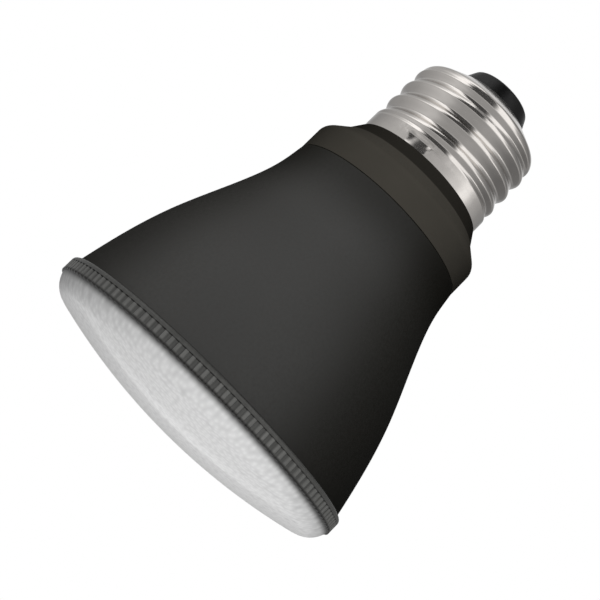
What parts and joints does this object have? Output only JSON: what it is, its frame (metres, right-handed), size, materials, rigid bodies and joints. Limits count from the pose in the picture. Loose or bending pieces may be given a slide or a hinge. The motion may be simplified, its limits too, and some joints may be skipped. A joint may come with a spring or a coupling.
{
  "type": "reflector led bulb",
  "caption": "Reflector-type LED bulb with a black bell housing, pebbled front lens with a ribbed rim, and a nickel screw base.",
  "frame": {"origin": "tip of the centre contact, where the lamp meets its socket", "axes": "+Z along the lamp's axis from the lens to the screw base, as it hangs in a ceiling socket; +X and +Y square to it, with the driver board in the XZ plane"},
  "size_m": [0.062, 0.062, 0.0841],
  "materials": {
    "lens": "translucent pebbled moulding with a glossy outer face",
    "housing": "matte black powder coat",
    "collar": "satin black moulding",
    "screw_shell": "nickel plate on rolled brass",
    "base_insulator": "black glassy insulator",
    "contact": "tinned brass",
    "spreader": "plain sheet",
    "screws": "zinc plated",
    "led_board": "white solder mask on metal core",
    "led_packages": "yellow phosphor under silicone",
    "reflector": "white diffuse moulding",
    "leads": "tinned wire",
    "driver_board": "green solder mask on glass epoxy",
    "transformer": "taped winding on a ferrite core",
    "bulk_capacitor": "sleeved aluminium can",
    "film_capacitor": "boxed film capacitor",
    "choke": "ferrite drum",
    "varistor": "dipped disc",
    "chips": "moulded epoxy",
    "fuse_resistor": "lacquered axial resistor"
  },
  "bodies": {
    "root": {"lens": "lens", "housing": "housing", "collar": "collar", "screw_shell": "screw_shell", "base_insulator": "base_insulator", "centre_contact": "contact", "heat_spreader": "spreader", "spreader_screws": "screws", "led_board": "led_board", "led_packages": "led_packages", "board_screws": "screws", "reflector": "reflector", "led_pins": "leads", "driver_board": "driver_board", "transformer": "transformer", "bulk_capacitor": "bulk_capacitor", "film_capacitor": "film_capacitor", "choke": "choke", "varistor": "varistor", "bridge_rectifier": "chips", "control_chip": "chips", "fuse_resistor": "fuse_resistor", "live_lead": "leads", "neutral_lead": "leads"}
  },
  "joints": []
}
